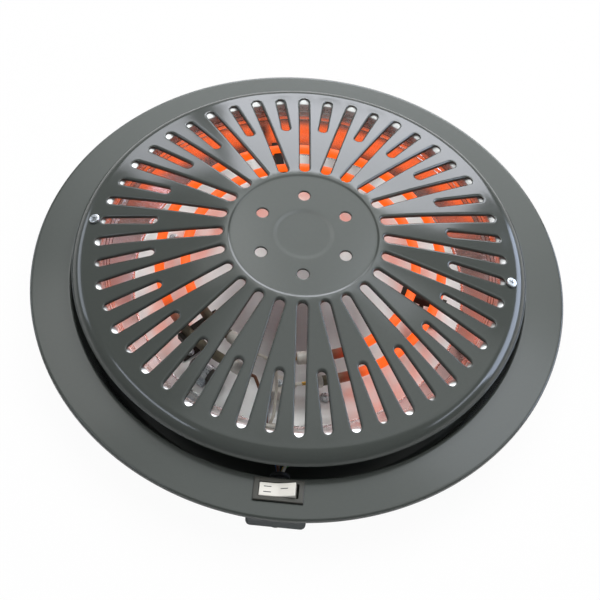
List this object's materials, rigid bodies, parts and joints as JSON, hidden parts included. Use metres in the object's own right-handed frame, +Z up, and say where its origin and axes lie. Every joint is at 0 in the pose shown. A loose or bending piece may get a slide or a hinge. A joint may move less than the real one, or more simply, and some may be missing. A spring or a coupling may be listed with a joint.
{
  "type": "electric brazier",
  "caption": "Round under-table electric heater with a wide flange, a domed slotted grille over ring elements in a reflector pan, and a rocker switch.",
  "frame": {"origin": "on the surface the brazier stands on, under the centre of its flange", "axes": "+Z up through the hub of the grille, -Y towards the rocker switch at the front"},
  "size_m": [0.39, 0.39, 0.0856],
  "materials": {
    "painted_steel": "graphite stove paint, gloss",
    "bright_aluminium": "polished",
    "zinc_steel": "zinc plated",
    "black_steel": "blackened",
    "element_sheath": "oxidised sheath, glowing",
    "ceramic": "glazed",
    "brass": "bright",
    "black_plastic": "moulded",
    "grey_plastic": "moulded, fine grain",
    "white_plastic": "moulded, satin",
    "black_rubber": "matt",
    "brown_insulation": "silicone insulation",
    "blue_insulation": "silicone insulation",
    "white_sleeve": "braided glass fibre",
    "earth_insulation": "green and yellow insulation"
  },
  "bodies": {
    "body": {"box_screw_left": "zinc_steel", "box_screw_right": "zinc_steel", "box_stud_left": "zinc_steel", "box_stud_right": "zinc_steel", "box_wire_bush": "black_rubber", "bracket_rivet_1": "zinc_steel", "bracket_rivet_2": "zinc_steel", "bracket_rivet_3": "zinc_steel", "casing": "painted_steel", "cord_gland": "black_rubber", "cutout_clip": "zinc_steel", "earth_screw": "brass", "earth_terminal": "brass", "element_bracket_1": "black_steel", "element_bracket_2": "black_steel", "element_bracket_3": "black_steel", "foot_1": "black_rubber", "foot_2": "black_rubber", "foot_3": "black_rubber", "grille": "painted_steel", "grille_nut_left": "zinc_steel", "grille_nut_right": "zinc_steel", "grille_screw_left": "zinc_steel", "grille_screw_right": "zinc_steel", "inner_bead_left": "ceramic", "inner_bead_right": "ceramic", "inner_element": "element_sheath", "inner_pin_left": "brass", "inner_pin_right": "brass", "mains_connector": "white_plastic", "outer_bead_left": "ceramic", "outer_bead_right": "ceramic", "outer_element": "element_sheath", "outer_pin_left": "brass", "outer_pin_right": "brass", "pan_screw_1": "zinc_steel", "pan_screw_2": "zinc_steel", "pan_screw_3": "zinc_steel", "pan_standoff_1": "zinc_steel", "pan_standoff_2": "zinc_steel", "pan_standoff_3": "zinc_steel", "pan_wire_bush": "ceramic", "reflector_pan": "bright_aluminium", "switch_blade_1": "brass", "switch_blade_2": "brass", "switch_blade_3": "brass", "switch_box": "grey_plastic", "switch_housing": "black_plastic", "terminal_block": "ceramic", "terminal_block_screw": "zinc_steel", "thermal_cutout": "black_plastic", "wire_blue": "blue_insulation", "wire_brown": "brown_insulation", "wire_earth": "earth_insulation", "wire_inner_link": "white_sleeve", "wire_outer_link": "white_sleeve", "wire_white_sleeved": "white_sleeve"},
    "rocker": {"rocker": "white_plastic"}
  },
  "joints": [
    {"name": "rocker_tilt", "type": "hinge", "parent": "body", "child": "rocker", "pos_m": [0, -0.1753, 0.0378], "axis": [0, 1, 0], "range_deg": [0, 20]}
  ]
}
